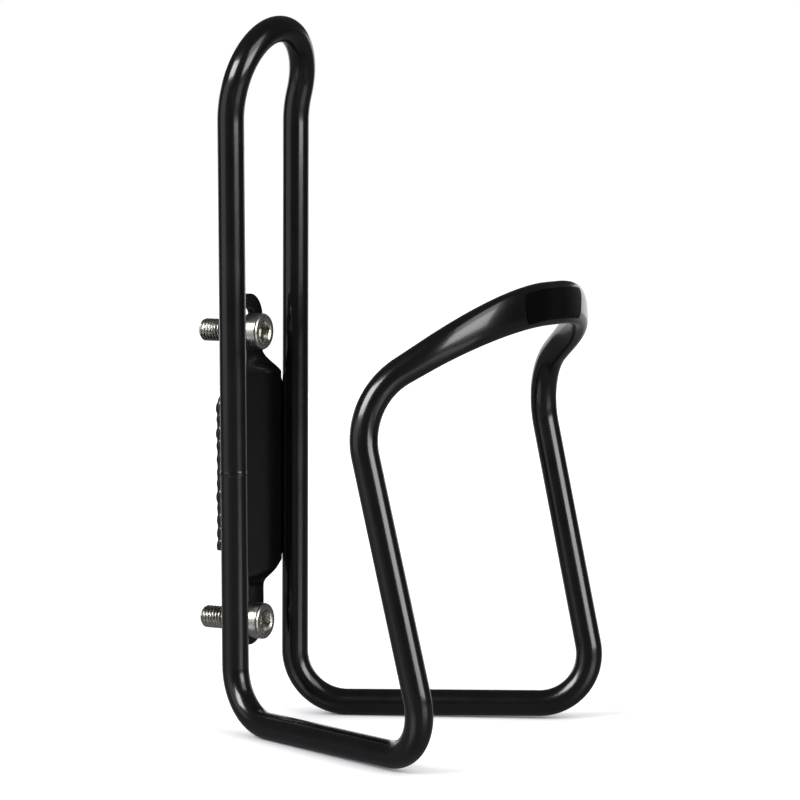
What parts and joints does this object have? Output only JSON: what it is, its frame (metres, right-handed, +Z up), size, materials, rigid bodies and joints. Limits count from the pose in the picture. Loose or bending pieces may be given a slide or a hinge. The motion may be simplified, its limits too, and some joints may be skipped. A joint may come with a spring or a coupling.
{
  "type": "water bottle cage",
  "caption": "Bicycle water bottle cage bent from round rod, with a rear hoop, flattened front band, welded mounting plate and socket head screws.",
  "frame": {"origin": "on the mounting plate's rear face, midway between the two screws", "axes": "+X across the cage, +Y from the cage into the bicycle tube, -Y towards the front band, +Z up along the bottle"},
  "size_m": [0.0874, 0.0878, 0.1553],
  "materials": {
    "coated_rod": "gloss black coating on bent aluminium rod",
    "coated_plate": "gloss black coating on pressed aluminium sheet",
    "coated_weld": "gloss black coating over rippled weld",
    "stainless_screw": "bright polished stainless",
    "blank_label": "satin black film, blank"
  },
  "bodies": {
    "cage": {"rear_hoop": "coated_rod", "left_leg_upper": "coated_rod", "left_leg_lower": "coated_rod", "right_leg": "coated_rod", "left_floor_bar": "coated_rod", "right_floor_bar": "coated_rod", "left_arm": "coated_rod", "right_arm": "coated_rod", "front_band": "coated_rod", "rod_butt_weld": "coated_weld", "mounting_plate": "coated_plate", "left_weld_bead": "coated_weld", "right_weld_bead": "coated_weld", "front_label": "blank_label"},
    "upper_screw": {"upper_screw": "stainless_screw"},
    "lower_screw": {"lower_screw": "stainless_screw"}
  },
  "joints": [
    {"name": "upper_screw_draw", "type": "slide", "parent": "cage", "child": "upper_screw", "axis": [0, -1, 0], "range_m": [0, 0.014]},
    {"name": "lower_screw_draw", "type": "slide", "parent": "cage", "child": "lower_screw", "axis": [0, -1, 0], "range_m": [0, 0.014]}
  ]
}
